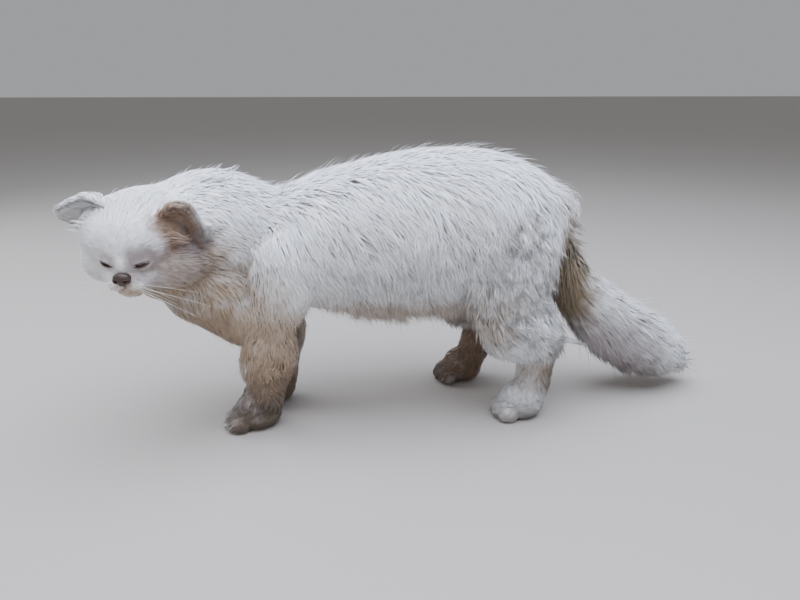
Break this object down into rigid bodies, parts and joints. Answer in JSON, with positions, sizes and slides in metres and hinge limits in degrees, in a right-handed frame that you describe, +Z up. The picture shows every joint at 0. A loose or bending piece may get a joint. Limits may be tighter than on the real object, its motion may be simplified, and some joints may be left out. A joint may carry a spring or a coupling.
{
  "type": "persian cat",
  "caption": "Life-size standing Persian cat with long coat, head turned to its left and tail held low, a still model whose body is divided into named parts",
  "frame": {"origin": "the point on the floor under the middle of the whole cat's bounding box", "axes": "+Z up; +X runs from the head to the tail, so the cat stands facing -X; its left side faces -Y"},
  "size_m": [0.6864, 0.198, 0.2866],
  "materials": {
    "white_coat": "long soft hair, matt with a faint sheen",
    "nose_leather": "bare moist skin, fine-grained",
    "ear_skin": "thin skin under very short hair",
    "eye": "wet and glossy"
  },
  "bodies": {
    "root": {"head": "white_coat", "neck": "white_coat", "chest": "white_coat", "barrel": "white_coat", "hips": "white_coat", "tail_root": "white_coat", "tail_middle": "white_coat", "tail_tip": "white_coat", "left_fore_upper_leg": "white_coat", "left_fore_lower_leg": "white_coat", "left_fore_paw": "white_coat", "right_fore_upper_leg": "white_coat", "right_fore_lower_leg": "white_coat", "right_fore_paw": "white_coat", "left_hind_upper_leg": "white_coat", "left_hind_lower_leg": "white_coat", "left_hind_paw": "white_coat", "right_hind_upper_leg": "white_coat", "right_hind_lower_leg": "white_coat", "right_hind_paw": "white_coat", "nose": "nose_leather", "left_ear": "ear_skin", "right_ear": "ear_skin", "left_eye": "eye", "right_eye": "eye"}
  },
  "joints": []
}
